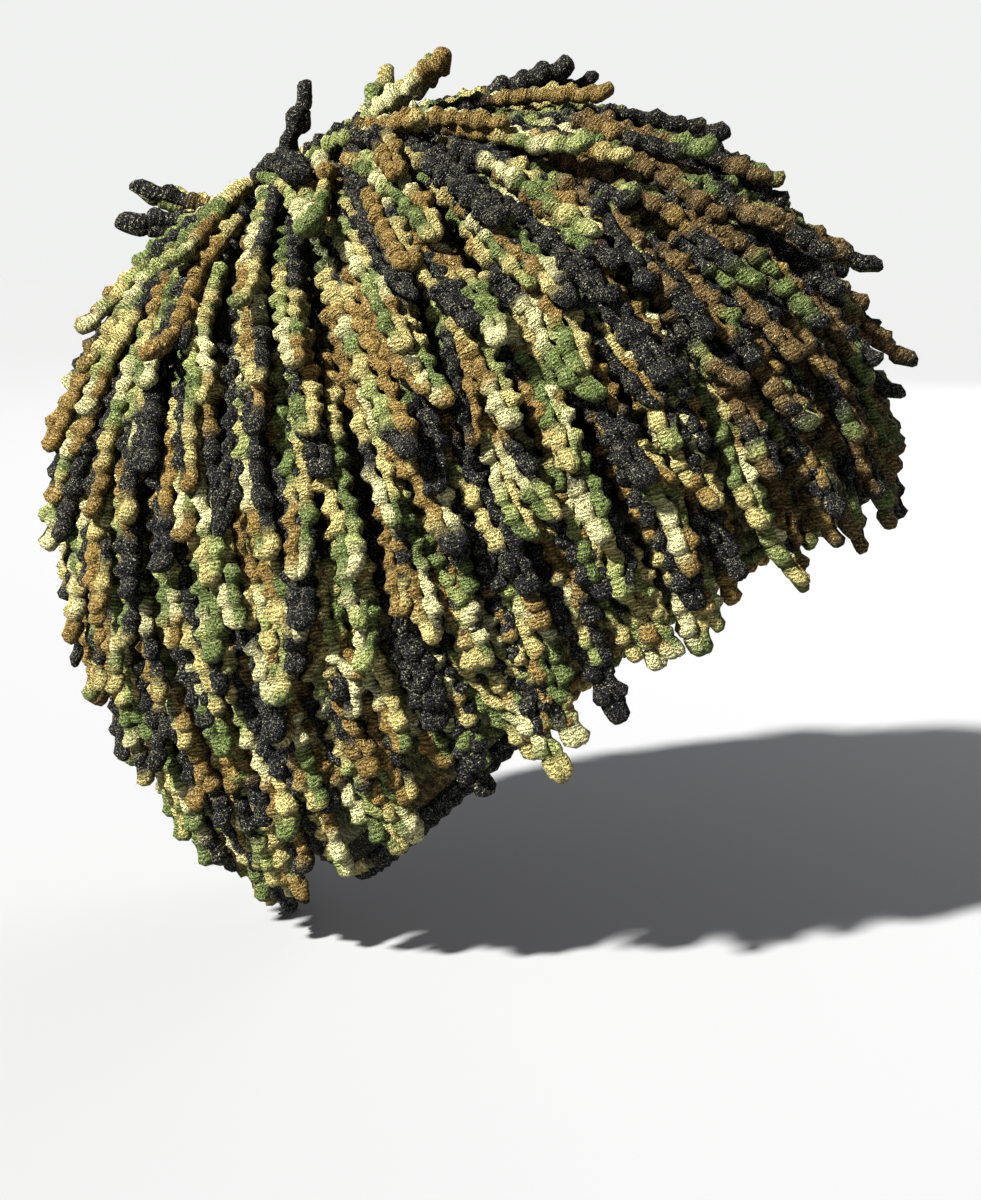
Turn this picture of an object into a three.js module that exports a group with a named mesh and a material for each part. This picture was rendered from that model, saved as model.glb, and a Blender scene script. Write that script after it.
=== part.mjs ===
// A crocheted cap covered with tiers of short crocheted fingers, in millimetres.
// +X points forward, +Y to the wearer's left and +Z up. The cap is worn low at the back,
// so its crown leans backwards and its rim runs from the forehead down to the nape.
// The origin is the highest point of the hollow inside the cap.
import * as THREE from "three";

// The hollow is an egg, longer below its widest level than above it, and narrower in front.
const HOLLOW = { halfLength: 94.5, halfWidth: 78, above: 92, below: 110, narrowing: 0.07 };
// The crown's lean backwards, and how far round the hollow the rim lies from the crown. At
// the brow it comes a little further down, by a bump of this sharpness.
const LEAN = THREE.MathUtils.degToRad(38);
const RIM = { angle: THREE.MathUtils.degToRad(122), brow: THREE.MathUtils.degToRad(8), sharpness: 6 };

const WALL = 3; // the crocheted cloth's thickness
const GAP = 0.4; // left between neighbouring pieces
const EDGE = { start: 1.003, width: 0.024, inside: -0.6, outside: 4.2, corner: 1 };
const CAP_SEGMENTS = { round: 30, down: 8 };
// The cap is worked in bands of rounds, from one of its segments down to another.
const CAP_BANDS = [
  { name: "cap_crown", from: 0, to: 3 },
  { name: "cap_middle", from: 3, to: 6 },
  { name: "cap_lower", from: 6, to: 8 },
];
const BAND_GAP = 0.002; // between two bands, as a share of the way from crown to rim

// A finger is a flat crocheted cord, crowded to a share of its room at the root. A tier's
// fingers grow from the lower side of a ring of stitches. Tiers lie over each other like
// shingles: on its way to the next ring a finger climbs by its own thickness and a clearance.
const FINGER = { width: 7.1, thickness: 3.5, length: 49, clearance: 1, crowding: 0.6 };
const TIER_STEP = 0.1;
const RING_HALF_WIDTH = 0.014;
const ROOT_HEIGHT = WALL + GAP + FINGER.thickness / 2;
const CLIMB = (FINGER.thickness + FINGER.clearance) / TIER_STEP;
const ROUTE_STEPS = 20;
const BLUNTNESS = 3; // how far before its end a finger starts to come to a point
// How far a finger hangs towards straight down instead of following the cap's own slope.
const HANG = 0.7;
// Where a finger too short to pass two rings bends, as shares of the way to its tip.
const SHORT_BENDS = [0.5, 0.8];
// Each tier starts this share of a finger's room further round than the one above.
const STAGGER = 0.5;
// Chance variations: sideways at the root and at the tip, and share of the length.
const UNEVEN = { root: 0.8, tip: 1.2, length: 0.12 };
// Tips rise off the cap beyond the ends of the tier above, most of them only a little.
const TIP = { from: 36, mostRise: 6, bias: 3 };
// Every finger has a key of its own, and adds a different share to it for each thing that varies.
const KEY = { perTier: 100, length: 0, root: 0.25, tip: 0.5, rise: 0.75 };
const SHUFFLE = { frequency: 127.1, spread: 43758.5453 };

// Each tier's number of fingers. The first one grows this share of the way from crown to rim.
const FIRST_TIER = 0.02;
const TIERS = [9, 17, 26, 33, 38, 41, 43, 42];
// The fingers that stand up from the rest: how far they run over the cap, from where on they
// leave it, and how far they rise.
const STRAYS = [
  { tier: 0, finger: 0, run: 18, from: 0, rise: 13 },
  { tier: 0, finger: 4, run: 12, from: 0, rise: 19 },
  { tier: 0, finger: 5, run: 20, from: 0, rise: 14 },
  { tier: 1, finger: 0, run: 17, from: 0, rise: 14 },
  { tier: 1, finger: 16, run: 32, from: 0, rise: 11 },
  { tier: 2, finger: 25, run: 33, from: 0, rise: 9 },
  { tier: 5, finger: 38, run: 50, from: 34, rise: 10 },
  { tier: 6, finger: 40, run: 52, from: 34, rise: 9 },
];

const YARN = { cap: 0x6a6238, edge: 0x7d7240, tiers: [0x2b2c35, 0x8a7a45, 0x557a3a, 0x5c4420] };

const crownAxis = new THREE.Vector3(-Math.sin(LEAN), 0, Math.cos(LEAN));
const frontAxis = new THREE.Vector3(Math.cos(LEAN), 0, Math.sin(LEAN));
const sideAxis = new THREE.Vector3(0, 1, 0);
const DOWN = new THREE.Vector3(0, 0, -1);
const SMALL_STEP = 0.001; // of the way from crown to rim, to find the slope

const rimAngle = (turn) => RIM.angle + RIM.brow * ((1 + Math.cos(turn)) / 2) ** RIM.sharpness;

// The same number from 0 to 1 every time for one key.
function chance(key) {
  const value = Math.sin(key * SHUFFLE.frequency) * SHUFFLE.spread;
  return value - Math.floor(value);
}

// The point at a share of the way from crown to rim, a turn round the crown, and a height
// above the hollow.
function domePoint(share, turn, height) {
  const angle = share * rimAngle(turn);
  const ray = new THREE.Vector3()
    .addScaledVector(frontAxis, Math.sin(angle) * Math.cos(turn))
    .addScaledVector(sideAxis, Math.sin(angle) * Math.sin(turn))
    .addScaledVector(crownAxis, Math.cos(angle));
  const tall = ray.z > 0 ? HOLLOW.above : HOLLOW.below;
  const reach = 1 / Math.hypot(ray.x / HOLLOW.halfLength, ray.y / HOLLOW.halfWidth, ray.z / tall);
  const point = ray.multiplyScalar(reach);
  const out = outward(point);
  point.y *= 1 - (HOLLOW.narrowing * point.x) / HOLLOW.halfLength;
  point.z -= HOLLOW.above;
  return point.addScaledVector(out, height);
}

// The direction off the hollow's wall at a point that is measured from the hollow's middle.
function outward(point) {
  const tall = point.z > 0 ? HOLLOW.above : HOLLOW.below;
  return new THREE.Vector3(
    point.x / HOLLOW.halfLength ** 2,
    point.y / HOLLOW.halfWidth ** 2,
    point.z / tall ** 2,
  ).normalize();
}

// The share and turn of the place on the hollow nearest to a point, along the ray from its middle.
function placeOf(point) {
  const ray = point.clone();
  ray.z += HOLLOW.above;
  ray.y /= 1 - (HOLLOW.narrowing * ray.x) / HOLLOW.halfLength;
  const turn = Math.atan2(ray.dot(sideAxis), ray.dot(frontAxis));
  return { share: ray.angleTo(crownAxis) / rimAngle(turn), turn };
}

// The frame at a place: a point at a height, the way off the wall, and the way down the cap.
function frameAt(share, turn, height) {
  const foot = domePoint(share, turn, 0);
  const out = domePoint(share, turn, 1).sub(foot).normalize();
  const onward = domePoint(share + SMALL_STEP, turn, 0).sub(foot).normalize();
  return { foot, out, onward, centre: foot.clone().addScaledVector(out, height) };
}

const tierShare = (tier) => FIRST_TIER + TIER_STEP * tier;

// Each finger of a tier: where it grows, its length, its drift, and how its tip rises.
function fingersOf(tier) {
  return Array.from({ length: TIERS[tier] }, (_, index) => {
    const key = 1 + KEY.perTier * tier + index;
    const stray = STRAYS.find((each) => each.tier === tier && each.finger === index);
    return {
      share: tierShare(tier) + RING_HALF_WIDTH,
      turn: (2 * Math.PI * (index + STAGGER * tier)) / TIERS[tier],
      room: (2 * Math.PI) / TIERS[tier],
      length: stray?.run ?? FINGER.length * (1 + UNEVEN.length * (2 * chance(key + KEY.length) - 1)),
      shift: UNEVEN.root * (2 * chance(key + KEY.root) - 1),
      drift: UNEVEN.tip * (2 * chance(key + KEY.tip) - 1),
      riseFrom: stray?.from ?? TIP.from,
      rise: stray?.rise ?? TIP.mostRise * chance(key + KEY.rise) ** TIP.bias,
    };
  });
}

// How high the middle of a finger is above the hollow at a share and at a distance from its root.
function liftOf(finger, share, distance) {
  const climbed = share - finger.share + 2 * RING_HALF_WIDTH;
  const free = Math.max(0, (distance - finger.riseFrom) / (finger.length - finger.riseFrom));
  return ROOT_HEIGHT + CLIMB * climbed + finger.rise * free ** 2;
}

// The finger's course over the cap, as a list of frames at even steps from its root to its tip.
function routeOf(finger) {
  const route = [];
  let { share, turn } = finger;
  for (let step = 0; step <= ROUTE_STEPS; step++) {
    const distance = (finger.length * step) / ROUTE_STEPS;
    const frame = frameAt(share, turn, liftOf(finger, share, distance));
    const pull = DOWN.clone().addScaledVector(frame.out, -DOWN.dot(frame.out));
    const along = frame.onward.clone().addScaledVector(pull, HANG).normalize();
    const side = new THREE.Vector3().crossVectors(frame.out, along);
    const aside = finger.shift + (finger.drift * step) / ROUTE_STEPS;
    route.push({ centre: frame.centre.addScaledVector(side, aside), side, share });
    ({ share, turn } = placeOf(frame.foot.addScaledVector(along, finger.length / ROUTE_STEPS)));
  }
  route.forEach((place, i) => {
    const before = route[Math.max(i - 1, 0)].centre;
    const after = route[Math.min(i + 1, ROUTE_STEPS)].centre;
    place.out = after.clone().sub(before).cross(place.side).normalize();
  });
  return route;
}

// Moves every vertex of a geometry to the place that a function gives for it.
function warp(geometry, place) {
  const position = geometry.getAttribute("position");
  const vertex = new THREE.Vector3();
  for (let i = 0; i < position.count; i++) {
    vertex.fromBufferAttribute(position, i);
    const moved = place(vertex);
    position.setXYZ(i, moved.x, moved.y, moved.z);
  }
  return geometry;
}

// A band round the cap from a closed profile of [share, height] pairs.
function band(profile) {
  const points = profile.map(([share, height]) => new THREE.Vector2(share, height));
  return warp(new THREE.LatheGeometry(points, CAP_SEGMENTS.round), (v) =>
    domePoint(Math.hypot(v.x, v.z), Math.atan2(v.x, v.z), v.y),
  );
}

// A band of the cap's wall, down on the outside and back up on the inside. The first one is
// closed at the crown, and the others go round.
function capGeometry({ from, to }) {
  const outside = [];
  const inside = [];
  for (let segment = from; segment <= to; segment++) {
    let share = segment / CAP_SEGMENTS.down;
    if (segment === from && from > 0) share += BAND_GAP / 2;
    if (segment === to && to < CAP_SEGMENTS.down) share -= BAND_GAP / 2;
    outside.push([share, WALL]);
    inside.unshift([share, 0]);
  }
  const profile = [...outside, ...inside].reverse();
  return band(from > 0 ? [...profile, profile[0]] : profile);
}

// The last round of stitches, a plump cord along the rim.
function edgeGeometry() {
  const middle = (EDGE.inside + EDGE.outside) / 2;
  const profile = [
    [EDGE.start, EDGE.inside + EDGE.corner],
    [EDGE.start + EDGE.width / 2, EDGE.inside],
    [EDGE.start + EDGE.width, middle],
    [EDGE.start + EDGE.width / 2, EDGE.outside],
    [EDGE.start, EDGE.outside - EDGE.corner],
  ];
  return band([...profile, profile[0]]);
}

// A closed skin that is put together from four-cornered sections.
class Skin {
  constructor() {
    this.points = [];
    this.index = [];
  }

  add(point) {
    return this.points.push(point) - 1;
  }

  // Walls between two sections, apart from the one that starts at an open corner.
  loft(from, to, open) {
    from.forEach((corner, i) => {
      if (i === open) return;
      const next = (i + 1) % from.length;
      this.index.push(corner, from[next], to[next], corner, to[next], to[i]);
    });
  }

  close(section, point) {
    const end = this.add(point);
    section.forEach((corner, i) => {
      this.index.push(corner, section[(i + 1) % section.length], end);
    });
  }

  geometry() {
    return new THREE.BufferGeometry().setFromPoints(this.points).setIndex(this.index);
  }
}

// A ring's section at one turn: inside and outside on the crown's side, then on the rim's side.
function ringSection(skin, share, turn) {
  const inside = WALL + GAP;
  const outside = inside + FINGER.thickness;
  const corners = [
    [-RING_HALF_WIDTH, inside],
    [-RING_HALF_WIDTH, outside],
    [RING_HALF_WIDTH, outside],
    [RING_HALF_WIDTH, inside],
  ];
  return corners.map(([across, height]) => skin.add(domePoint(share + across, turn, height)));
}

// A finger's section at a distance from its root, in the order of the ring's open wall.
function fingerSection(skin, finger, route, distance) {
  const { centre, side, out } = routePoint(finger, route, distance);
  const corners = [[-1, -1], [1, -1], [1, 1], [-1, 1]];
  return corners.map(([sideways, outwards]) =>
    skin.add(
      centre.clone()
        .addScaledVector(side, (sideways * FINGER.width) / 2)
        .addScaledVector(out, (outwards * FINGER.thickness) / 2),
    ),
  );
}

function routePoint(finger, route, distance) {
  const along = Math.min((distance / finger.length) * ROUTE_STEPS, ROUTE_STEPS);
  const before = Math.min(Math.floor(along), ROUTE_STEPS - 1);
  const [from, to] = [route[before], route[before + 1]];
  return { ...from, centre: from.centre.clone().lerp(to.centre, along - before) };
}

// The distances from its root at which a finger passes the next two rings and begins its tip.
function bendsOf(finger, route) {
  const run = route[ROUTE_STEPS].share - finger.share;
  const rings = [1, 2].map((step) => TIER_STEP * step - 2 * RING_HALF_WIDTH);
  const passes = rings.map((share) => (finger.length * share) / run);
  const end = finger.length - BLUNTNESS;
  const bends = passes[1] < end - BLUNTNESS ? passes : SHORT_BENDS.map((part) => end * part);
  return [...bends, end];
}

function tierGeometry(tier) {
  const skin = new Skin();
  const fingers = fingersOf(tier);
  const posts = fingers.map((finger) => {
    const reach = domePoint(finger.share, finger.turn, ROOT_HEIGHT)
      .distanceTo(domePoint(finger.share, finger.turn + finger.room, ROOT_HEIGHT));
    const half = Math.min(FINGER.width, FINGER.crowding * reach) / 2;
    return [-half, half].map((aside) =>
      ringSection(skin, tierShare(tier), finger.turn + ((aside + finger.shift) * finger.room) / reach),
    );
  });
  const openWall = 2;
  fingers.forEach((finger, i) => {
    const [left, right] = posts[i];
    skin.loft(left, right, openWall);
    skin.loft(right, posts[(i + 1) % posts.length][0]);
    const route = routeOf(finger);
    let section = [left[3], right[3], right[2], left[2]];
    for (const distance of bendsOf(finger, route)) {
      const next = fingerSection(skin, finger, route, distance);
      skin.loft(section, next);
      section = next;
    }
    skin.close(section, route[ROUTE_STEPS].centre);
  });
  return skin.geometry();
}

function piece(name, geometry, color) {
  const material = new THREE.MeshStandardMaterial({ color, roughness: 0.95, metalness: 0 });
  const mesh = new THREE.Mesh(geometry, material);
  mesh.name = name;
  return mesh;
}

const hat = new THREE.Group();
CAP_BANDS.forEach((part) => hat.add(piece(part.name, capGeometry(part), YARN.cap)));
hat.add(piece("edge_round", edgeGeometry(), YARN.edge));
TIERS.forEach((_, tier) => {
  const color = YARN.tiers[tier % YARN.tiers.length];
  hat.add(piece(`finger_tier_${tier + 1}`, tierGeometry(tier), color));
});

export default hat;
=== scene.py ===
"""A crocheted wool hat: a close cap covered with tiers of short, lumpy crocheted fingers.

Sizes are in millimetres until a piece is put in place, and in metres after that. +X points
forward, +Y to the left, +Z up, and the origin is the top of the hollow in the cap.
"""
import math
import random

import bpy
import numpy as np
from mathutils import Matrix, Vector


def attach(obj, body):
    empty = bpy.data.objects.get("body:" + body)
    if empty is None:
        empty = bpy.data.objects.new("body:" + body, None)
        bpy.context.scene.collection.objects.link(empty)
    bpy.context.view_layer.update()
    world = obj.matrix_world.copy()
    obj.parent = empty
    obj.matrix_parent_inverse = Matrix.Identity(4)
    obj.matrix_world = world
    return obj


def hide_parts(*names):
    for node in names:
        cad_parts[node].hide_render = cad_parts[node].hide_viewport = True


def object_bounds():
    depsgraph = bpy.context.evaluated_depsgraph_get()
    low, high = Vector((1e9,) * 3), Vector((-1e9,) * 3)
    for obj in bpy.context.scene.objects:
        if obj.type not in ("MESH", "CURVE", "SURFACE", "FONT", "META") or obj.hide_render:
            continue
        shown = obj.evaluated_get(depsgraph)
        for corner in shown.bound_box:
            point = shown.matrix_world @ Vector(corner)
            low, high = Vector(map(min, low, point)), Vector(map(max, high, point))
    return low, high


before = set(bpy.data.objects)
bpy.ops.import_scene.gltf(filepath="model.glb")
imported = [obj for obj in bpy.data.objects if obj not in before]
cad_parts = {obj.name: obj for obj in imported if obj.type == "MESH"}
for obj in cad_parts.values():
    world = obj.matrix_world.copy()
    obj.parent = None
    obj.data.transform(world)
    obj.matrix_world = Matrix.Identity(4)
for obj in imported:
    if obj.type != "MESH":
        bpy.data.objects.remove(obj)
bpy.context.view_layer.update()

MM = 0.001
FULL_TURN = 2 * math.pi

# The camera, fitted to the photograph: it looks along +Y and a little down.
CAMERA = {
    "distance": 650, "down": math.radians(9), "aim": (3.375, 0, -88), "lower": 35.1,
    "lens": 72.2, "sensor": 36, "nearest": 0.01,
}

# The hat's own measures, the same as in the solids.
HOLLOW = {"half_length": 94.5, "half_width": 78, "above": 92, "below": 110, "narrowing": 0.07}
LEAN = math.radians(38)
RIM = {"angle": math.radians(122), "brow": math.radians(8), "sharpness": 6}
WALL = 3
GAP = 0.4
EDGE = {"start": 1.003, "width": 0.024, "inside": -0.6, "outside": 4.2}
FINGER = {"thickness": 3.5, "length": 49, "clearance": 1}
TIERS = [9, 17, 26, 33, 38, 41, 43, 42]
LAST_TIER = len(TIERS) - 1
FIRST_TIER = 0.02
TIER_STEP = 0.1
RING_HALF_WIDTH = 0.014
ROOT_HEIGHT = WALL + GAP + FINGER["thickness"] / 2
CLIMB = (FINGER["thickness"] + FINGER["clearance"]) / TIER_STEP
ROUTE_STEPS = 20
SMALL_STEP = 0.001
HANG = 0.7
STAGGER = 0.5
UNEVEN = {"root": 0.8, "tip": 1.2, "length": 0.12}
TIP = {"from": 36, "most_rise": 6, "bias": 3}
# The fingers that stand up from the rest: (tier, finger): (length, from, rise).
STRAYS = {
    (0, 0): (18, 0, 13),
    (0, 4): (12, 0, 19),
    (0, 5): (20, 0, 14),
    (1, 0): (17, 0, 14),
    (1, 16): (32, 0, 11),
    (2, 25): (33, 0, 9),
    (5, 38): (50, 34, 10),
    (6, 40): (52, 34, 9),
}
# The fingers between the others grow lower, by these shares of a tier.
BETWEEN = {
    "key": 5000, "lower": 0.5, "last_lower": 0.05, "scatter": 0.3, "turn_scatter": 0.4,
    "front_lower": 0.4, "front_power": 4,
}
# What is added to a finger's key for each thing about it that is left to chance.
KEY = {
    "per_tier": 100, "length": 0, "root": 0.25, "tip": 0.5, "rise": 0.75,
    "lower": 0.1, "turn": 0.2, "ball": 0.4,
}
SHUFFLE = {"frequency": 127.1, "spread": 43758.5453}

CROWN_AXIS = np.array([-math.sin(LEAN), 0, math.cos(LEAN)])
FRONT_AXIS = np.array([math.cos(LEAN), 0, math.sin(LEAN)])
SIDE_AXIS = np.array([0, 1, 0])
DOWN = np.array([0, 0, -1])

# A finger is two columns of plump stitches. A column is (side, back).
STITCH = {
    "first": -1.5, "pitch": 4.7, "apart": 1.6, "radius": 2.1, "deep": 1.12,
    "neck": 0.68, "slant": 0.75, "rise": 0.5,
}
UNEVEN_STITCH = {"radius": 0.16, "aside": 0.5, "deep": 0.55}
TAPER = {"last": 8, "share": 0.7}
FRONT_COLUMNS = [(1, 0), (-1, 0)]
ALL_COLUMNS = FRONT_COLUMNS + [(0, -1.7)]
# How open to the light a stitch lies, from its depth in the finger and the way to its necks.
OPEN = {"from": -2.6, "reach": 3.6, "at_neck": 0.5}
HAIR = {
    "for_each_mm": 0.5, "longest": 3.2, "shortest": 1.2, "sides": 3, "radius": 0.08,
    "lean": 0.4, "open": 0.45, "out_of_root": 0.4, "steep": 0.9,
}
CARRIED = ("run", "column", "open")
# The fineness of a column: rings in each stitch, and sides.
FINEST, FINE, PLAIN = (8, 14), (5, 8), (5, 7)
CORD = {
    "short": 20, "short_below": 25, "middle": 34, "middle_below": 40, "long": FINGER["length"],
}
MODELS = [
    # name, length, columns, fineness, seed
    ("long_cord_0", CORD["long"], FRONT_COLUMNS, FINE, 1),
    ("long_cord_1", CORD["long"], FRONT_COLUMNS, FINE, 2),
    ("long_cord_2", CORD["long"], FRONT_COLUMNS, FINE, 3),
    ("middle_cord", CORD["middle"], ALL_COLUMNS, FINEST, 4),
    ("short_cord", CORD["short"], ALL_COLUMNS, FINEST, 5),
    ("under_cord_0", CORD["long"], FRONT_COLUMNS, PLAIN, 6),
    ("under_cord_1", CORD["long"], FRONT_COLUMNS, PLAIN, 7),
]

# How a finger lies apart from its course, in millimetres and degrees.
LIE = {
    "aside": 7.5, "aside_between": 10, "aside_crown": 12, "aside_power": 1.5,
    "up": (0, 2), "up_between": (-1.5, 0.6), "up_reach": (0.5, 0.9),
    "sway": 2.8, "sway_bends": (4, 8), "turn": 26, "first_turn": 8,
    "tip": 4, "tip_between": 1.5, "tip_bias": 2, "tip_power": 4,
    "crown_keys": 2 * KEY["per_tier"], "shortest_raised": 40,
}
LUMP = {"size": (0.88, 1.14), "swell": 0.1, "swell_bends": (0.5, 0.9), "rough": 0.09}
WAVE_START = (0, 6)

# The edge is a plait that closes on itself round the rim.
PLAIT = {"strands": 3, "sway": 1.5, "overtone": 0.15, "depth": 0.7, "radius": 1.5, "pitch": 14}
PLAIT_FINENESS = (12, 7)
PLUMP = {"mean": 0.95, "swell": 0.2, "at": math.radians(55)}
PLAIT_STEP = 0.05

# The cap is crocheted in rounds from the crown down, with ridges inside and out.
CAP = {
    "rounds": 38, "per_round": 4, "around": 120, "ridge": 0.8, "outside": WALL - 0.5,
    "inside": 0.7, "stitch": 5.4, "least_stitches": 6,
}
JUST_UNDER = 0.9999
SLIVER = 1e-4

# How near to each other the seams of a rolled sheet lie, before and after it is put in place.
SEAM_STRAIGHT = 0.01
SEAM_PLACED = 0.00002

# The wool's colours, and how many millimetres of yarn each runs for before the next follows.
STRAW = (0.53, 0.445, 0.165)
PALE_STRAW = (0.65, 0.615, 0.31)
LEAF = (0.125, 0.172, 0.048)
MOSS = (0.29, 0.33, 0.105)
BARK = (0.255, 0.16, 0.042)
# A darker bark, partly the yarn's colour and partly painted shade.
DARK_BARK_WITH_PAINTED_SHADE = (0.135, 0.082, 0.027)
COAL = (0.0085, 0.009, 0.0135)
DYE_RUNS = [
    (COAL, 440), (BARK, 60), (STRAW, 40), (LEAF, 45), (PALE_STRAW, 35), (MOSS, 30), (LEAF, 70),
    (STRAW, 50), (BARK, 45), (PALE_STRAW, 40), (LEAF, 35), (STRAW, 45), (MOSS, 45), (COAL, 90),
    (BARK, 140), (STRAW, 35), (COAL, 45), (PALE_STRAW, 50), (LEAF, 90), (STRAW, 40), (MOSS, 35),
    (PALE_STRAW, 45), (BARK, 50), (LEAF, 40), (STRAW, 60),
]
# Most fingers low at the front are worked from a darker ball: partly darker yarn, partly painted
# shade over the forehead.
DARK_RUNS_WITH_PAINTED_SHADE = [
    (COAL, 150), (DARK_BARK_WITH_PAINTED_SHADE, 90), (LEAF, 40), (COAL, 80), (DARK_BARK_WITH_PAINTED_SHADE, 60), (BARK, 25), (COAL, 60),
    (LEAF, 50), (DARK_BARK_WITH_PAINTED_SHADE, 110), (COAL, 40), (MOSS, 25), (DARK_BARK_WITH_PAINTED_SHADE, 50),
]
DARK_FRONT = {"first_tier": 3, "turn": math.radians(42), "share": 0.95}
UNEVEN_DYE = {"run": (0.35, 1.75), "depth": (0.82, 1.12)}
DYE_BLEND = 22
BALL = {"length": 240000, "seed": 11, "dark_seed": 12}
# The yarn that each piece takes, in millimetres, and where in the ball the edge starts.
YARN = {"per_mm": 6, "turning": 25, "edge_start": 4000, "edge_apart": 5200, "edge_per_mm": 4}
CAP_STITCH_YARN = 26
FINGER_YARN = 2 * YARN["per_mm"] * FINGER["length"] + YARN["turning"]
# Painted shade: the wool's colour is darkened deep between the fingers, most on the cap's outside
# under them, and a little on the cap's inside.
SHADE = {"buried": 0.35, "cap_outside": 0.35, "cap_inside": 0.8}

# The wool's finish: dull, with fluff, and loose curly fibres in two sizes.
WOOL = {
    "Roughness": 0.92,
    "Specular IOR Level": 0.05,
    "Sheen Weight": 0.015,
    "Sheen Roughness": 0.4,
    "Sheen Tint": (1.0, 0.95, 0.8, 1),
}
FLUFF = {"scale": 560, "detail": 3}
CURLS = [
    # scale, width, share
    (1050, 0.28, 0.5),
    (2000, 0.35, 0.65),
]
# Painted shade: the wool's colour is darkened where the fibres' bump lies low.
PAINTED_FIBRE_SHADE = {"deep": 0.28, "open": 0.97}
# Painted highlights: here and there a fibre is lightened as if it caught the light.
PAINTED_FIBRE_GLINT = {"from": 0.93, "to": 1.15, "share": 0.3, "colour": (0.82, 0.8, 0.48, 1)}
BUMP = {"strength": 1.0, "distance": 0.001}
# The plies of the yarn: how they wind, and how high they, the curls and the fluff stand.
PLY = {
    "winds": 2, "by_fluff": 12, "by_curls": 1.5, "high": 0.4, "curls": 0.95, "fluff": 1.1,
    "deep": 0.3, "open": 1.8,
}
FINGER_RIDGE = 0.85
EDGE_RIDGE = 1.3
TEXTURE_PER_MM = {"finger": 1.3, "edge": 1.2}
# A stitch of the cap is a V: two lumps that slant away from its middle.
VEE = {
    "apart": 0.14, "slant": 0.2, "narrow": 5.5, "by_fluff": 0.3, "lump": (0.1, 1.1),
    "high": 1.4, "fluff": 0.8, "curls": 0.9, "deep": 0.5, "open": 2.3,
}

FLOOR = {"size": 14, "below": 0.001, "colour": (0.222, 0.229, 0.246, 1), "roughness": 0.9}
BACKDROP = (0.87, 0.88, 0.87, 1)
SOFT_LIGHT = (0.092, 0.096, 0.115, 1)
LIT = (0, 0, -0.1)

# The sockets of a node that mixes two colours.
MIX_SHARE, MIX_FIRST, MIX_SECOND, MIX_RESULT = 0, 6, 7, 2


# Directions and places on the hat

def unit(vectors):
    return vectors / np.linalg.norm(vectors, axis=-1, keepdims=True)


def dot(a, b):
    return np.sum(a * b, axis=-1, keepdims=True)


def rim_angle(turn):
    return RIM["angle"] + RIM["brow"] * ((1 + np.cos(turn)) / 2) ** RIM["sharpness"]


def dome_point(share, turn, height):
    """Points at a share of the way from crown to rim, a turn, and a height above the hollow."""
    share, turn, height = np.broadcast_arrays(share, turn, height)
    angle = (share * rim_angle(turn))[..., None]
    swing = turn[..., None]
    ray = (
        FRONT_AXIS * np.sin(angle) * np.cos(swing)
        + SIDE_AXIS * np.sin(angle) * np.sin(swing)
        + CROWN_AXIS * np.cos(angle)
    )
    radii = np.empty_like(ray)
    radii[..., 0] = HOLLOW["half_length"]
    radii[..., 1] = HOLLOW["half_width"]
    radii[..., 2] = np.where(ray[..., 2] > 0, HOLLOW["above"], HOLLOW["below"])
    point = ray / np.linalg.norm(ray / radii, axis=-1, keepdims=True)
    out = unit(point / radii**2)
    point[..., 1] *= 1 - HOLLOW["narrowing"] * point[..., 0] / HOLLOW["half_length"]
    point[..., 2] -= HOLLOW["above"]
    return point + out * height[..., None]


def place_of(point):
    """The share and turn of the places on the hollow nearest to points."""
    ray = point.copy()
    ray[..., 2] += HOLLOW["above"]
    ray[..., 1] /= 1 - HOLLOW["narrowing"] * ray[..., 0] / HOLLOW["half_length"]
    turn = np.arctan2(ray @ SIDE_AXIS, ray @ FRONT_AXIS)
    angle = np.arccos(np.clip(unit(ray) @ CROWN_AXIS, -1, 1))
    return angle / rim_angle(turn), turn


# The courses of the fingers

def chance(key):
    value = np.sin(key * SHUFFLE["frequency"]) * SHUFFLE["spread"]
    return value - np.floor(value)


def roots_of(tier, between):
    """Each finger's key, and the share and turn where it grows.

    The fingers between are those that grow lower and fill the gaps. The last of them reach
    lower still at the front.
    """
    count = TIERS[tier]
    index = np.arange(count)
    key = 1 + KEY["per_tier"] * tier + index
    share = np.full(count, FIRST_TIER + TIER_STEP * tier + RING_HALF_WIDTH)
    if between:
        key = key + BETWEEN["key"]
        lower = BETWEEN["last_lower"] if tier == LAST_TIER else BETWEEN["lower"]
        scatter = BETWEEN["scatter"] * (chance(key + KEY["lower"]) - 0.5)
        share = share + TIER_STEP * (lower + scatter)
        index = index + 0.5 + BETWEEN["turn_scatter"] * (chance(key + KEY["turn"]) - 0.5)
    turn = FULL_TURN * (index + STAGGER * tier) / count
    if between and tier == LAST_TIER:
        front = np.maximum(np.cos(turn), 0) ** BETWEEN["front_power"]
        share = share + TIER_STEP * BETWEEN["front_lower"] * front
    return key, share, turn


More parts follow.
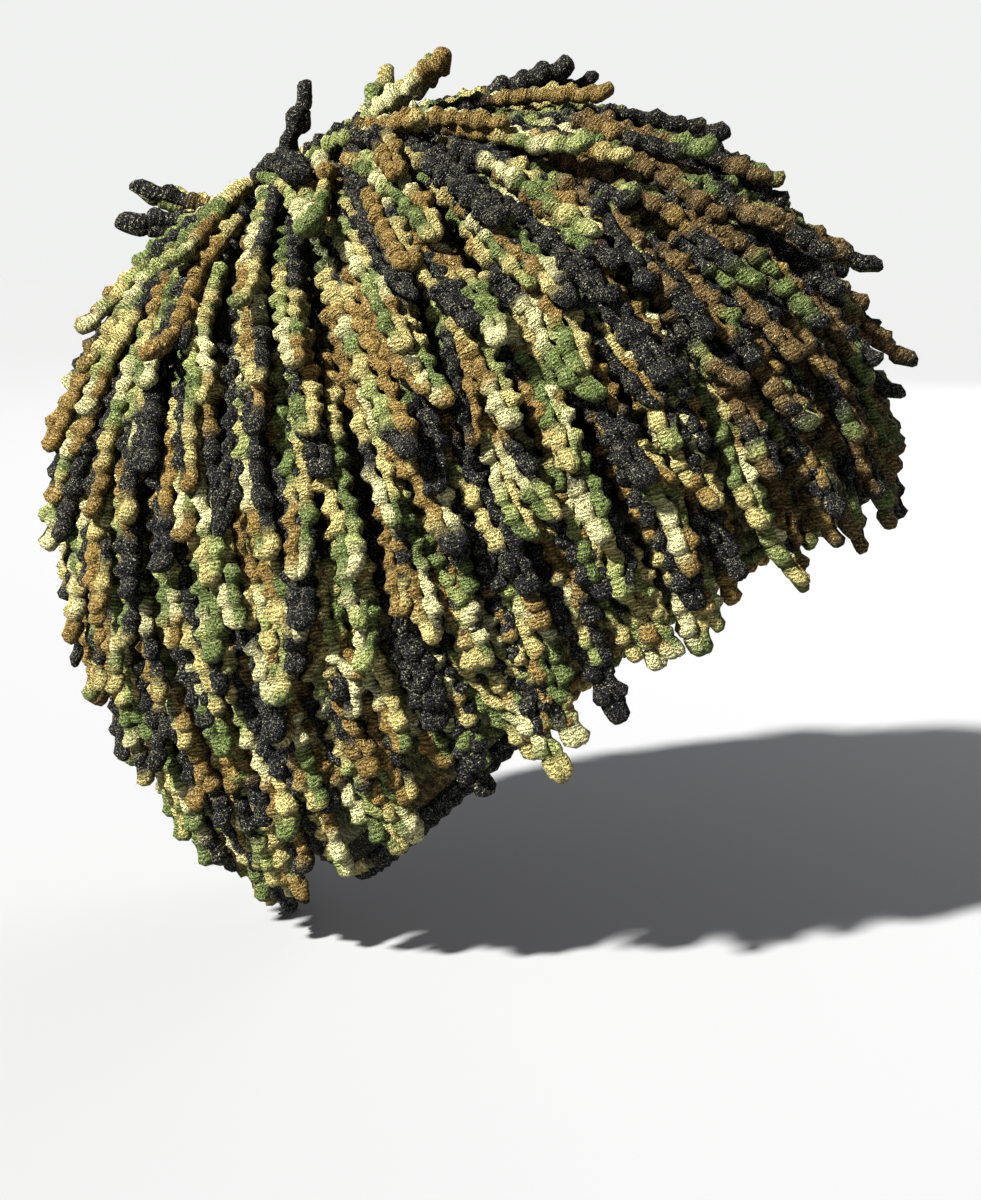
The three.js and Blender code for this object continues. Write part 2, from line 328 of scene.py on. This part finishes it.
def courses_of(tier, between):
    """The courses of a tier's fingers: centres, and the ways to the side and out, at steps."""
    count = TIERS[tier]
    key, share, turn = roots_of(tier, between)
    first_share, first_turn = share, turn
    length = FINGER["length"] * (1 + UNEVEN["length"] * (2 * chance(key + KEY["length"]) - 1))
    shift = UNEVEN["root"] * (2 * chance(key + KEY["root"]) - 1)
    drift = UNEVEN["tip"] * (2 * chance(key + KEY["tip"]) - 1)
    rise_from = np.full(count, float(TIP["from"]))
    rise = TIP["most_rise"] * chance(key + KEY["rise"]) ** TIP["bias"]
    if between and tier == LAST_TIER:
        rise = np.zeros(count)
    for (stray_tier, finger), (run, start, most) in STRAYS.items():
        if stray_tier == tier and not between:
            length[finger], rise_from[finger], rise[finger] = run, start, most
    centres, sides = [], []
    for step in range(ROUTE_STEPS + 1):
        distance = length * step / ROUTE_STEPS
        foot = dome_point(share, turn, 0)
        out = unit(dome_point(share, turn, 1) - foot)
        onward = unit(dome_point(share + SMALL_STEP, turn, 0) - foot)
        free = np.maximum(0, distance - rise_from) / np.maximum(length - rise_from, 1)
        climbed = CLIMB * (share - first_share + 2 * RING_HALF_WIDTH)
        lift = ROOT_HEIGHT + climbed + rise * free**2
        pull = DOWN - out * dot(DOWN, out)
        along = unit(onward + pull * HANG)
        side = np.cross(out, along)
        aside = shift + drift * step / ROUTE_STEPS
        centres.append(foot + out * lift[:, None] + side * aside[:, None])
        sides.append(side)
        share, turn = place_of(foot + along * (length / ROUTE_STEPS)[:, None])
    centres = np.stack(centres, axis=1)
    sides = np.stack(sides, axis=1)
    outs = unit(np.cross(np.gradient(centres, axis=1), sides))
    return [
        {
            "key": int(key[i]), "turn": first_turn[i], "length": length[i],
            "centres": centres[i], "sides": sides[i], "outs": outs[i],
        }
        for i in range(count)
    ]


# Mesh making

def deselect():
    bpy.ops.object.select_all(action="DESELECT")


def vectors_of(mesh, kind="co"):
    """The place of every vertex, or with kind "normal" its way out."""
    values = np.empty(len(mesh.vertices) * 3)
    mesh.vertices.foreach_get(kind, values)
    return values.reshape(-1, 3)


def set_coordinates(mesh, values):
    mesh.vertices.foreach_set("co", np.ascontiguousarray(values, dtype=np.float32).ravel())
    mesh.update()


def floats_of(mesh, name):
    values = np.empty(len(mesh.vertices))
    mesh.attributes[name].data.foreach_get("value", values)
    return values


def keep_floats(mesh, name, values):
    attribute = mesh.attributes.new(name, "FLOAT", "POINT")
    attribute.data.foreach_set("value", np.ascontiguousarray(values, dtype=np.float32))


def keep_dye_and_painted_shade(mesh, colours, domain="POINT"):
    """Gives every point or corner of a mesh its wool's colour, with any painted shade already
    multiplied in.
    """
    attribute = mesh.attributes.new("dye_and_painted_shade", "FLOAT_COLOR", domain)
    whole = np.ones((len(colours), 4), dtype=np.float32)
    whole[:, :3] = colours
    attribute.data.foreach_set("color", whole.ravel())


def uv_of(mesh):
    layer = mesh.uv_layers["yarn"].data
    values = np.empty(len(layer) * 2)
    layer.foreach_get("uv", values)
    return values.reshape(-1, 2)


def set_uv(mesh, values):
    mesh.uv_layers["yarn"].data.foreach_set("uv", values.astype(np.float32).ravel())


def sheet_of(name, steps, sides):
    """A flat grid, with its two ways across it, from 0 to 1, for every vertex."""
    deselect()
    bpy.ops.mesh.primitive_grid_add(
        x_subdivisions=steps, y_subdivisions=sides, size=1, location=(0, 0, 0)
    )
    sheet = bpy.context.object
    sheet.name = sheet.data.name = name
    sheet.data.uv_layers[0].name = "yarn"
    flat = vectors_of(sheet.data) + 0.5
    return sheet, flat[:, 0], flat[:, 1]


def weld(piece, distance):
    """Joins the edges of a rolled sheet and makes its faces point outwards."""
    deselect()
    piece.select_set(True)
    bpy.context.view_layer.objects.active = piece
    bpy.ops.object.mode_set(mode="EDIT")
    bpy.ops.mesh.select_all(action="SELECT")
    bpy.ops.mesh.remove_doubles(threshold=distance)
    bpy.ops.mesh.normals_make_consistent(inside=False)
    bpy.ops.object.mode_set(mode="OBJECT")
    piece.data.polygons.foreach_set("use_smooth", [True] * len(piece.data.polygons))


def joined(pieces, name):
    deselect()
    for piece in pieces:
        piece.select_set(True)
    bpy.context.view_layer.objects.active = pieces[0]
    bpy.ops.object.join()
    whole = bpy.context.view_layer.objects.active
    whole.name = whole.data.name = name
    return whole


# The yarn's dye

def ball_of(runs, seed):
    """The colours of a long yarn, and where along it each one ends."""
    draw = random.Random(seed)
    colours, ends, reached = [], [], 0
    while reached < BALL["length"]:
        for colour, run in runs:
            reached += run * draw.uniform(*UNEVEN_DYE["run"])
            colours.append(np.array(colour) * draw.uniform(*UNEVEN_DYE["depth"]))
            ends.append(reached)
    return np.array(colours), np.array(ends)


def dyed(ball, position):
    """The colour of the yarn at positions along it, with a short blend between runs."""
    colours, ends = ball
    position = np.mod(position, ends[-2])
    run = np.searchsorted(ends, position)
    into_next = np.clip((position - ends[run] + DYE_BLEND) / DYE_BLEND, 0, 1)[:, None] ** 2
    return colours[run] * (1 - into_next) + colours[run + 1] * into_next


# The cords that fingers are copied from

def column(name, length, side, back, fineness, draw):
    """One column of stitches, a string of lumps that is closed at both ends."""
    rings, sides = fineness
    first = STITCH["first"] + (STITCH["pitch"] / 2 if side < 0 else 0)
    count = round((length - first) / STITCH["pitch"])
    pitch = (length - first) / count
    tube, along, around = sheet_of(name, count * rings, sides)
    ring = np.rint(along * count * rings)
    number = np.minimum(ring // rings, count - 1).astype(int)
    part = ring / rings - number
    # Along a stitch, from -1 at one neck to 1 at the next, and how full it is there.
    on_stitch = -np.cos(math.pi * part)
    full = np.sin(math.pi * part)
    x = first + (number + (on_stitch + 1) / 2) * pitch
    uneven = {
        way: most * draw.uniform(-1, 1, count)[number] for way, most in UNEVEN_STITCH.items()
    }
    at_start = (number == 0) & (on_stitch < 0)
    at_end = (number == count - 1) & (on_stitch > 0)
    neck = np.where(at_start | at_end, 0, STITCH["neck"])
    radius = STITCH["radius"] * (1 + uneven["radius"]) * (neck + (1 - neck) * full)
    near_tip = np.clip((x - length + TAPER["last"]) / TAPER["last"], 0, 1)
    inwards = 1 - TAPER["share"] * near_tip**2
    swing = around * FULL_TURN
    wave = np.sin(math.pi * on_stitch)
    slant = STITCH["slant"] * (1 - near_tip) * wave
    aside = side * (STITCH["apart"] * inwards + slant) + uneven["aside"] * full
    depth = back * inwards + STITCH["rise"] * wave + uneven["deep"] * full
    y = aside + radius * np.cos(swing)
    z = depth + STITCH["deep"] * radius * np.sin(swing)
    least = OPEN["at_neck"]
    opened = np.clip((z - OPEN["from"]) / OPEN["reach"], 0, 1) * (least + (1 - least) * full)
    mesh = tube.data
    set_coordinates(mesh, np.stack([x, y, z], axis=-1))
    keep_floats(mesh, "run", x / length)
    keep_floats(mesh, "column", np.full(len(x), float(side)))
    keep_floats(mesh, "open", opened)
    keep_floats(mesh, "rough", np.ones(len(x)))
    set_uv(mesh, uv_of(mesh) * (count * STITCH["pitch"] * TEXTURE_PER_MM["finger"], 1))
    weld(tube, SEAM_STRAIGHT)
    return tube


def hairs_of(columns, draw):
    """Loose fibres that stand off the wool, each a thin closed spike."""
    places = np.concatenate([vectors_of(column.data) for column in columns])
    ways = np.concatenate([vectors_of(column.data, "normal") for column in columns])
    carried = {
        name: np.concatenate([floats_of(column.data, name) for column in columns])
        for name in CARRIED
    }
    able = np.flatnonzero((carried["open"] > HAIR["open"]) & (carried["run"] > 0))
    count = round(places[:, 0].max() * HAIR["for_each_mm"])
    hairs = []
    for i in draw.choice(able, count, replace=False):
        deselect()
        bpy.ops.mesh.primitive_cone_add(
            vertices=HAIR["sides"], radius1=HAIR["radius"], depth=1, location=(0, 0, 0)
        )
        hair = bpy.context.object
        hair.data.uv_layers[0].name = "yarn"
        x, y, z = vectors_of(hair.data).T
        way = unit(ways[i] + HAIR["lean"] * draw.normal(0, 1, 3))
        aside = (1.0, 0.0, 0.0) if abs(way[0]) < HAIR["steep"] else (0.0, 1.0, 0.0)
        across = unit(np.cross(way, aside))
        length = draw.uniform(HAIR["shortest"], HAIR["longest"])
        stand = np.outer((z + HAIR["out_of_root"]) * length, way)
        over = np.cross(way, across)
        standing = places[i] + np.outer(x, across) + np.outer(y, over) + stand
        set_coordinates(hair.data, standing)
        for name, values in carried.items():
            keep_floats(hair.data, name, np.full(len(x), values[i]))
        keep_floats(hair.data, "rough", np.zeros(len(x)))
        hairs.append(hair)
    return hairs


def cord_model(name, length, columns, fineness, seed):
    """The cord that fingers are copied from: straight, along +X, its front towards +Z."""
    draw = np.random.default_rng(seed)
    made = [
        column(f"{name}_{i}", length, side, back, fineness, draw)
        for i, (side, back) in enumerate(columns)
    ]
    return joined(made + hairs_of(made, draw), name)


# Laying a finger along its course

def wave_of(position, bends, draw):
    return np.sin(position * draw.uniform(*bends) + draw.uniform(*WAVE_START))


def lie_of(course, run, draw):
    """How far a finger lies aside of its course and above it, and how far it rolls."""
    grown = np.clip(run, 0, 1)
    kind = "_between" if course["key"] > BETWEEN["key"] else ""
    long_enough = course["length"] > LIE["shortest_raised"]
    on_crown = course["key"] < LIE["crown_keys"] and long_enough
    most_aside = LIE["aside_crown"] if on_crown else LIE["aside" + kind]
    sway = draw.uniform(-1, 1) * LIE["sway"] * wave_of(run, LIE["sway_bends"], draw) * grown
    sway += draw.uniform(-1, 1) * most_aside * grown ** LIE["aside_power"]
    most_up = draw.uniform(*LIE["up" + kind])
    lift = most_up * np.sin(math.pi * grown * draw.uniform(*LIE["up_reach"]))
    most_tip = LIE["tip" + kind] if long_enough else 0
    lift += most_tip * draw.random() ** LIE["tip_bias"] * grown ** LIE["tip_power"]
    roll = math.radians(draw.uniform(-1, 1) * LIE["turn"]) * grown
    roll += math.radians(draw.uniform(-LIE["first_turn"], LIE["first_turn"]))
    return sway, lift, roll


def laid(model, course, start_of_yarn, ball):
    """A copy of a cord, laid along a finger's course, coloured from the yarn and darkened with
    painted shade where it lies deep.
    """
    length, key = course["length"], course["key"]
    draw = random.Random(key)
    finger = model.copy()
    finger.data = model.data.copy()
    bpy.context.scene.collection.objects.link(finger)
    mesh = finger.data
    straight = vectors_of(mesh)
    run = floats_of(mesh, "run")
    sway, lift, roll = lie_of(course, run, draw)
    size = draw.uniform(*LUMP["size"])
    lump = size + LUMP["swell"] * wave_of(straight[:, 0], LUMP["swell_bends"], draw)
    rough = np.random.default_rng(key).normal(0, LUMP["rough"], (2, len(run)))
    rough *= floats_of(mesh, "rough")
    lateral = straight[:, 1] * lump + rough[0]
    depth = straight[:, 2] * lump + rough[1]
    lateral, depth = (
        lateral * np.cos(roll) - depth * np.sin(roll) + sway,
        lateral * np.sin(roll) + depth * np.cos(roll) + lift,
    )
    steps = run * ROUTE_STEPS
    before = np.clip(np.floor(steps).astype(int), 0, ROUTE_STEPS - 1)
    part = (steps - before)[:, None]

    def along_course(values):
        return values[before] * (1 - part) + values[before + 1] * part

    side = unit(along_course(course["sides"]))
    out = unit(along_course(course["outs"]))
    placed = along_course(course["centres"]) + side * lateral[:, None] + out * depth[:, None]
    set_coordinates(mesh, placed * MM)
    # The yarn goes down one column and comes back up the other.
    passed = np.where(floats_of(mesh, "column") > 0, 2 * length - run * length, run * length)
    colours = dyed(ball, start_of_yarn + YARN["per_mm"] * passed)
    # Painted shade: darker where the wool lies deep in the finger and at the necks between
    # stitches.
    shade = SHADE["buried"] + (1 - SHADE["buried"]) * floats_of(mesh, "open")
    keep_dye_and_painted_shade(mesh, colours * shade[:, None])
    return finger


def model_for(course, between):
    key, length = course["key"], course["length"]
    if between:
        return models[f"under_cord_{key % 2}"]
    if length < CORD["short_below"]:
        return models["short_cord"]
    if length < CORD["middle_below"]:
        return models["middle_cord"]
    return models[f"long_cord_{key % 3}"]


def ball_for(course, tier):
    # The darker ball gives the front partly darker yarn and partly painted shade.
    at_front = math.cos(course["turn"]) > math.cos(DARK_FRONT["turn"])
    drawn = chance(course["key"] + KEY["ball"]) < DARK_FRONT["share"]
    return dark_ball_with_painted_shade if tier >= DARK_FRONT["first_tier"] and at_front and drawn else main_ball


# Surface finishes

class Signal:
    """What one node gives out, with ordinary arithmetic."""

    def __init__(self, finish, socket):
        self.finish = finish
        self.socket = socket

    def __add__(self, other):
        return self.finish.maths("ADD", self, other)

    def __sub__(self, other):
        return self.finish.maths("SUBTRACT", self, other)

    def __rsub__(self, other):
        return self.finish.maths("SUBTRACT", other, self)

    def __mul__(self, other):
        return self.finish.maths("MULTIPLY", self, other)

    def __truediv__(self, other):
        return self.finish.maths("DIVIDE", self, other)

    def __rtruediv__(self, other):
        return self.finish.maths("DIVIDE", other, self)

    __radd__ = __add__
    __rmul__ = __mul__


class Finish:
    """A material that is put together from nodes."""

    def __init__(self, name):
        self.material = bpy.data.materials.new(name)
        self.material.use_nodes = True
        self.tree = self.material.node_tree
        self.surface = self.tree.nodes["Principled BSDF"]

    def node(self, kind, settings=None, inputs=None, output=0):
        made = self.tree.nodes.new(kind)
        for name, value in (settings or {}).items():
            setattr(made, name, value)
        self.feed(made, inputs or {})
        return Signal(self, made.outputs[output])

    def feed(self, made, inputs):
        for name, value in inputs.items():
            if isinstance(value, Signal):
                self.tree.links.new(value.socket, made.inputs[name])
            else:
                made.inputs[name].default_value = value

    def maths(self, operation, *values):
        return self.node("ShaderNodeMath", {"operation": operation}, dict(enumerate(values)))

    def spread(self, value, low, high):
        """How far a value is on its way from low to high, between 0 and 1."""
        sockets = {"Value": value, "From Min": low, "From Max": high}
        return self.node("ShaderNodeMapRange", {"interpolation_type": "SMOOTHSTEP"}, sockets)

    def mix(self, share, first, second, blend="MIX"):
        settings = {"data_type": "RGBA", "blend_type": blend, "clamp_factor": True}
        sockets = {MIX_SHARE: share, MIX_FIRST: first, MIX_SECOND: second}
        return self.node("ShaderNodeMix", settings, sockets, MIX_RESULT)

    def grey(self, value):
        return self.node("ShaderNodeCombineColor", {}, {0: value, 1: value, 2: value})

    def noise(self, place, scale, detail):
        sockets = {"Vector": place, "Scale": scale, "Detail": detail}
        return self.node("ShaderNodeTexNoise", {}, sockets)

    def curls(self, place, scale, width):
        """Thin curly lines, 1 in their middle and 0 beside them."""
        level = self.maths("ABSOLUTE", self.noise(place, scale, 1) * 2 - 1)
        return 1 - self.spread(level, 0, width)

    def bump(self, height):
        sockets = {
            "Height": height, "Strength": BUMP["strength"], "Distance": BUMP["distance"],
        }
        return self.node("ShaderNodeBump", {}, sockets)


def yarn_basics(name):
    """What all the wool shows, and where along and around its yarn it is."""
    finish = Finish(name)
    finish.feed(finish.surface, WOOL)
    place = finish.node("ShaderNodeTexCoord", output="Object")
    on_yarn = {"Vector": finish.node("ShaderNodeUVMap", {"uv_map": "yarn"})}
    along = finish.node("ShaderNodeSeparateXYZ", {}, on_yarn, "X")
    around = finish.node("ShaderNodeSeparateXYZ", {}, on_yarn, "Y")
    fluff = finish.noise(place, FLUFF["scale"], FLUFF["detail"])
    wide, fine = [finish.curls(place, scale, width) * share for scale, width, share in CURLS]
    return finish, along, around, fluff, wide + fine


def colour_wool(finish, height, curls, deep, open_height):
    """Painted shade darkens the wool's colour deep between the fibres, and here and there a fibre
    gets a painted highlight where it catches the light.
    """
    # The wool's colour, with its painted shade.
    dye_and_painted_shade = finish.node("ShaderNodeAttribute", {"attribute_name": "dye_and_painted_shade"})
    open_share = finish.spread(height, deep, open_height)
    # Painted shade deep between the fibres.
    depth = finish.grey(PAINTED_FIBRE_SHADE["deep"] + open_share * PAINTED_FIBRE_SHADE["open"])
    fibre_shaded = finish.mix(1.0, dye_and_painted_shade, depth, "MULTIPLY")
    # Painted highlight on the highest curls.
    share = finish.spread(curls, PAINTED_FIBRE_GLINT["from"], PAINTED_FIBRE_GLINT["to"]) * PAINTED_FIBRE_GLINT["share"]
    lit = finish.mix(share, fibre_shaded, PAINTED_FIBRE_GLINT["colour"])
    finish.feed(finish.surface, {"Base Color": lit, "Normal": finish.bump(height)})
    return finish.material


def yarn_finish(name, ridge):
    """Thick plied wool: ridges wind round the yarn, and fine fibres stand off it."""
    finish, along, around, fluff, curls = yarn_basics(name)
    wound = (along / ridge + around * PLY["winds"]) * FULL_TURN
    ply = finish.maths("SINE", wound + fluff * PLY["by_fluff"] + curls * PLY["by_curls"])
    height = ply * PLY["high"] + curls * PLY["curls"] + fluff * PLY["fluff"]
    return colour_wool(finish, height, curls, PLY["deep"], PLY["open"])


def cap_finish(name):
    """Close crochet: every stitch is a V of two slanting lumps, in rounds."""
    finish, along, around, fluff, curls = yarn_basics(name)
    stitch = finish.maths("FRACT", along)
    round_part = finish.maths("FRACT", around)
    from_middle = finish.maths("ABSOLUTE", stitch - 0.5)
    off_arm = finish.maths("ABSOLUTE", from_middle - (round_part * VEE["slant"] + VEE["apart"]))
    lump = 1 - finish.spread(off_arm * VEE["narrow"] + fluff * VEE["by_fluff"], *VEE["lump"])
    row = finish.maths("SINE", round_part * math.pi)
    height = lump * row * VEE["high"] + fluff * VEE["fluff"] + curls * VEE["curls"]
    return colour_wool(finish, height, curls, VEE["deep"], VEE["open"])


def dress(piece, material):
    piece.data.materials.clear()
    piece.data.materials.append(material)
    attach(piece, "root")


# The edge

def strand_path(x, phase, pitch):
    """How far a strand is aside and outwards, and its radius, at distances along the edge."""
    angle = FULL_TURN * x / pitch + phase
    aside = PLAIT["sway"] * (np.sin(angle) + PLAIT["overtone"] * np.sin(3 * angle))
    outwards = PLAIT["depth"] * np.sin(2 * angle)
    plump = PLUMP["mean"] + PLUMP["swell"] * np.cos(2 * (angle - PLUMP["at"]))
    return aside, outwards, PLAIT["radius"] * plump


def rim_length():
    turns = np.linspace(0, FULL_TURN, 361)
    rim = dome_point(np.ones_like(turns), turns, 0)
    return float(np.linalg.norm(np.diff(rim, axis=0), axis=1).sum())


def edge_strand(number):
    length = rim_length()
    repeats = round(length / PLAIT["pitch"])
    rings, sides = PLAIT_FINENESS
    tube, along, around = sheet_of(f"edge_strand_{number}", repeats * rings, sides)
    pitch = length / repeats
    phase = FULL_TURN * number / PLAIT["strands"]
    x = along * length
    sway, depth, radius = strand_path(x, phase, pitch)
    ahead = strand_path(x + PLAIT_STEP, phase, pitch)
    behind = strand_path(x - PLAIT_STEP, phase, pitch)
    onward = [np.full_like(x, 2 * PLAIT_STEP), ahead[0] - behind[0], ahead[1] - behind[1]]
    forward = unit(np.stack(onward, axis=-1))
    across = unit(np.cross(forward, np.array([0, 0, 1.0])))
    out = np.cross(across, forward)
    swing = (around * FULL_TURN)[:, None]
    off = (across * np.cos(swing) + out * np.sin(swing)) * radius[:, None]
    share_per_mm = EDGE["width"] / (EDGE["outside"] - EDGE["inside"])
    share = EDGE["start"] + EDGE["width"] / 2 + (sway + off[:, 1]) * share_per_mm
    height = (EDGE["inside"] + EDGE["outside"]) / 2 + depth + off[:, 2]
    turn = FULL_TURN * (x + off[:, 0]) / length
    mesh = tube.data
    set_coordinates(mesh, dome_point(share, turn, height) * MM)
    set_uv(mesh, uv_of(mesh) * (length * TEXTURE_PER_MM["edge"], 1))
    start = YARN["edge_start"] + np.where(sway > 0, 0, YARN["edge_apart"])
    passed = np.clip(x, 0, length - 2 * PLAIT_STEP)
    keep_dye_and_painted_shade(mesh, dyed(main_ball, start + YARN["edge_per_mm"] * passed))
    weld(tube, SEAM_PLACED)
    return tube


# The cap

def stitches_of_rounds():
    """How many stitches each of the cap's rounds has."""
    level = (np.arange(CAP["rounds"]) + 0.5) / CAP["rounds"]
    mean_radius = np.sin(level * RIM["angle"]) * (HOLLOW["half_length"] + HOLLOW["half_width"]) / 2
    return np.maximum(CAP["least_stitches"], np.rint(FULL_TURN * mean_radius / CAP["stitch"]))


def wind_yarn(mesh, down, across):
    """Lays the yarn's stitches over the cap, round after round, dyes them, and darkens them with
    painted shade, most on the outside under the fingers.
    """
    corners = uv_of(mesh)
    row = corners[:, 0] * across
    share = np.clip(np.where(row <= down + 0.5, row, across - row) / down, 0, 1)
    # All corners of a face take the round that its middle lies in.
    totals = np.empty(len(mesh.polygons), dtype=int)
    mesh.polygons.foreach_get("loop_total", totals)
    face = np.repeat(np.arange(len(totals)), totals)
    middle = np.bincount(face, share) / totals
    round_number = np.floor(np.minimum(middle, JUST_UNDER) * CAP["rounds"]).astype(int)
    stitches = stitches_of_rounds()
    corners[:, 0] = corners[:, 1] * stitches[round_number][face]
    corners[:, 1] = share * CAP["rounds"]
    set_uv(mesh, corners)
    before = np.concatenate([[0], np.cumsum(stitches)])[round_number][face]
    stitch_number = before + np.floor(corners[:, 0] - SLIVER)
    # Painted shade: the outside, under the fingers, is darker than the inside.
    outside = (np.bincount(face, row) / totals < down)[face]
    shade = np.where(outside, SHADE["cap_outside"], SHADE["cap_inside"])
    colours = dyed(main_ball, stitch_number * CAP_STITCH_YARN)
    keep_dye_and_painted_shade(mesh, colours * shade[:, None], "CORNER")


def make_cap():
    """The cap's wall in one sheet: down its outside, round the rim and up its inside."""
    down = CAP["rounds"] * CAP["per_round"]
    across = 2 * down + 2
    cap, along, around = sheet_of("cap", across, CAP["around"])
    row = np.rint(along * across)
    on_outside = row <= down
    share = np.clip(np.where(on_outside, row, across - row) / down, 0, 1)
    ridge = CAP["ridge"] * np.abs(np.sin(math.pi * share * CAP["rounds"]))
    height = np.where(on_outside, CAP["outside"] + ridge, CAP["inside"] - ridge)
    height = np.where(row == down + 1, WALL / 2, height)
    set_coordinates(cap.data, dome_point(share, around * FULL_TURN, height) * MM)
    wind_yarn(cap.data, down, across)
    weld(cap, SEAM_PLACED)
    return cap


# Camera, floor and light

def set_camera():
    down = CAMERA["down"]
    forward = Vector((0, math.cos(down), -math.sin(down)))
    up = Vector((0, math.sin(down), math.cos(down)))
    aim = Vector(CAMERA["aim"]) - up * CAMERA["lower"]
    place = (aim - forward * CAMERA["distance"]) * MM
    deselect()
    bpy.ops.object.camera_add(location=place, rotation=(math.pi / 2 - down, 0, 0))
    camera = bpy.context.object
    camera.name = "camera"
    camera.data.sensor_fit = "VERTICAL"
    camera.data.sensor_height = CAMERA["sensor"]
    camera.data.lens = CAMERA["lens"]
    camera.data.clip_start = CAMERA["nearest"]
    bpy.context.scene.camera = camera


def set_floor(lowest):
    deselect()
    place = (0, 0, lowest - FLOOR["below"])
    bpy.ops.mesh.primitive_plane_add(size=FLOOR["size"], location=place)
    floor = bpy.context.object
    floor.name = "floor"
    paint = Finish("pale_floor")
    paint.feed(paint.surface, {"Base Color": FLOOR["colour"], "Roughness": FLOOR["roughness"]})
    floor.data.materials.append(paint.material)


def set_light(name, kind, place, power, colour, **shape):
    deselect()
    bpy.ops.object.light_add(type=kind, location=place)
    lamp = bpy.context.object
    lamp.name = name
    lamp.data.energy = power
    lamp.data.color = colour
    for key, value in shape.items():
        setattr(lamp.data, key, value)
    lamp.rotation_euler = (Vector(LIT) - Vector(place)).to_track_quat("-Z", "Y").to_euler()


def set_studio():
    """A pale backdrop, and a much dimmer light from all round."""
    world = bpy.data.worlds.new("studio")
    bpy.context.scene.world = world
    world.use_nodes = True
    tree = world.node_tree
    background = tree.nodes["Background"]
    shown = tree.nodes.new("ShaderNodeLightPath")
    share = tree.nodes.new("ShaderNodeMix")
    share.data_type = "RGBA"
    share.inputs[MIX_FIRST].default_value = SOFT_LIGHT
    share.inputs[MIX_SECOND].default_value = BACKDROP
    tree.links.new(shown.outputs["Is Camera Ray"], share.inputs[MIX_SHARE])
    tree.links.new(share.outputs[MIX_RESULT], background.inputs["Color"])


set_camera()

main_ball = ball_of(DYE_RUNS, BALL["seed"])
dark_ball_with_painted_shade = ball_of(DARK_RUNS_WITH_PAINTED_SHADE, BALL["dark_seed"])
finger_wool = yarn_finish("finger_wool", FINGER_RIDGE)
models = {row[0]: cord_model(*row) for row in MODELS}

yarn_reached = 0.0
for tier in range(len(TIERS)):
    fingers = []
    for between in (False, True):
        for course in courses_of(tier, between):
            model, ball = model_for(course, between), ball_for(course, tier)
            fingers.append(laid(model, course, yarn_reached, ball))
            yarn_reached += FINGER_YARN
    whole = joined(fingers, f"fingers_of_tier_{tier + 1}")
    dress(whole, finger_wool)
    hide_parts(f"finger_tier_{tier + 1}")

for model in models.values():
    bpy.data.objects.remove(model)

edge = joined([edge_strand(number) for number in range(PLAIT["strands"])], "edge")
dress(edge, yarn_finish("edge_wool", EDGE_RIDGE))
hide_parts("edge_round")

cap = make_cap()
dress(cap, cap_finish("cap_wool"))
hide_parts("cap_crown", "cap_middle", "cap_lower")

hat_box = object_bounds()
set_floor(hat_box[0][2])
set_light(
    "key_light", "SUN", (-1.15, -1.15, 1.22), 18.3, (1.0, 0.975, 0.9), angle=math.radians(4)
)
set_light(
    "fill_light", "AREA", (1.0, -1.3, 0.3), 0.4, (0.9, 0.95, 1.0), shape="DISK", size=1.4
)
set_light("back_light", "AREA", (1.1, 1.6, 0.5), 30, (1.0, 0.98, 0.95), shape="DISK", size=1.2)
set_studio()
bpy.context.scene.view_settings.view_transform = "Standard"
